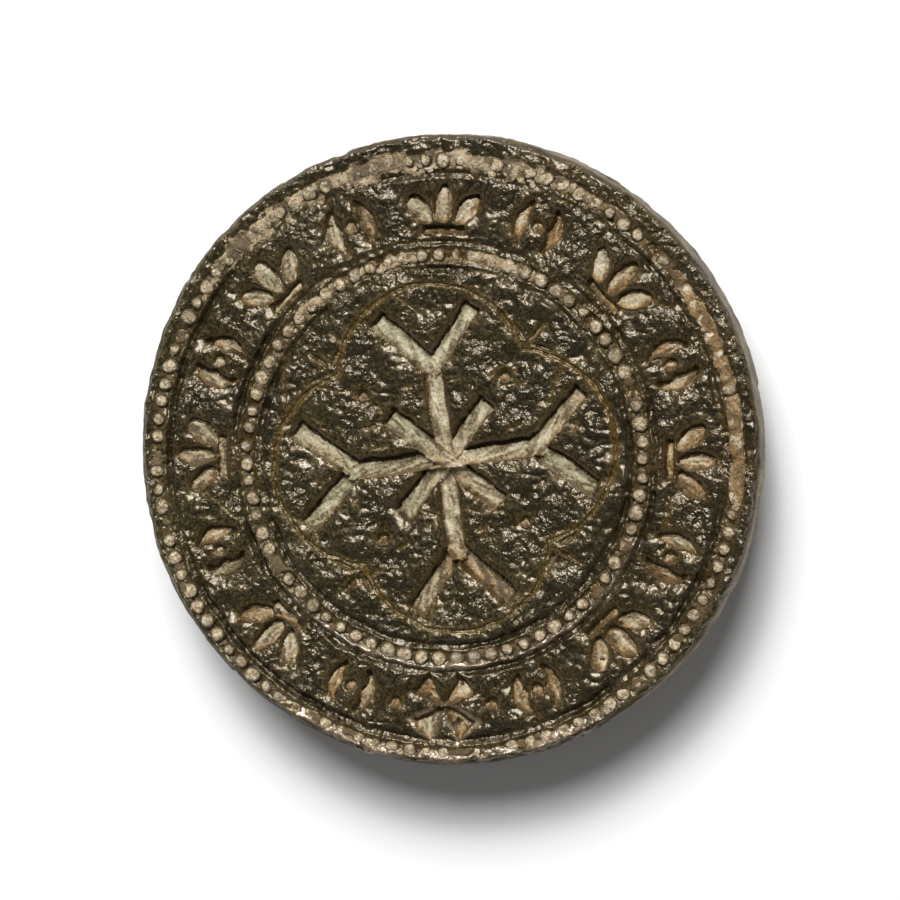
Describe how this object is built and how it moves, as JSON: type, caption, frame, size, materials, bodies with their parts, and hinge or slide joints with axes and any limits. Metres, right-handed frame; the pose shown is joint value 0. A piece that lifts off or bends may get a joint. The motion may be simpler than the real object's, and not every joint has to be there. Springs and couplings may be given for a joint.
{
  "type": "seal matrix",
  "caption": "Round engraved bronze seal die with beaded borders, an ornament band, a forked-cross device and a fold-flat pierced handle hinged on its back.",
  "frame": {"origin": "on the resting surface, straight below the centre of the round plate", "axes": "+Z out of the engraved face, +Y from the handle's pierced end towards its hinge side, and the folded handle points to -Y"},
  "size_m": [0.03, 0.03, 0.0056],
  "materials": {
    "bronze_patina": "dark brown-black patina with pale soil in the cuts",
    "bronze_worn": "worn dark patina, a little smoother than the die",
    "iron_pin": "dull rusted iron"
  },
  "bodies": {
    "die": {"die_plate": "bronze_patina", "hinge_ear_left": "bronze_worn", "hinge_ear_right": "bronze_worn", "hinge_pin": "iron_pin"},
    "handle": {"handle": "bronze_worn"}
  },
  "joints": [
    {"name": "handle_fold", "type": "hinge", "parent": "die", "child": "handle", "pos_m": [0, 0.0035, 0.0015], "axis": [1, 0, 0], "range_deg": [0, 90]}
  ]
}
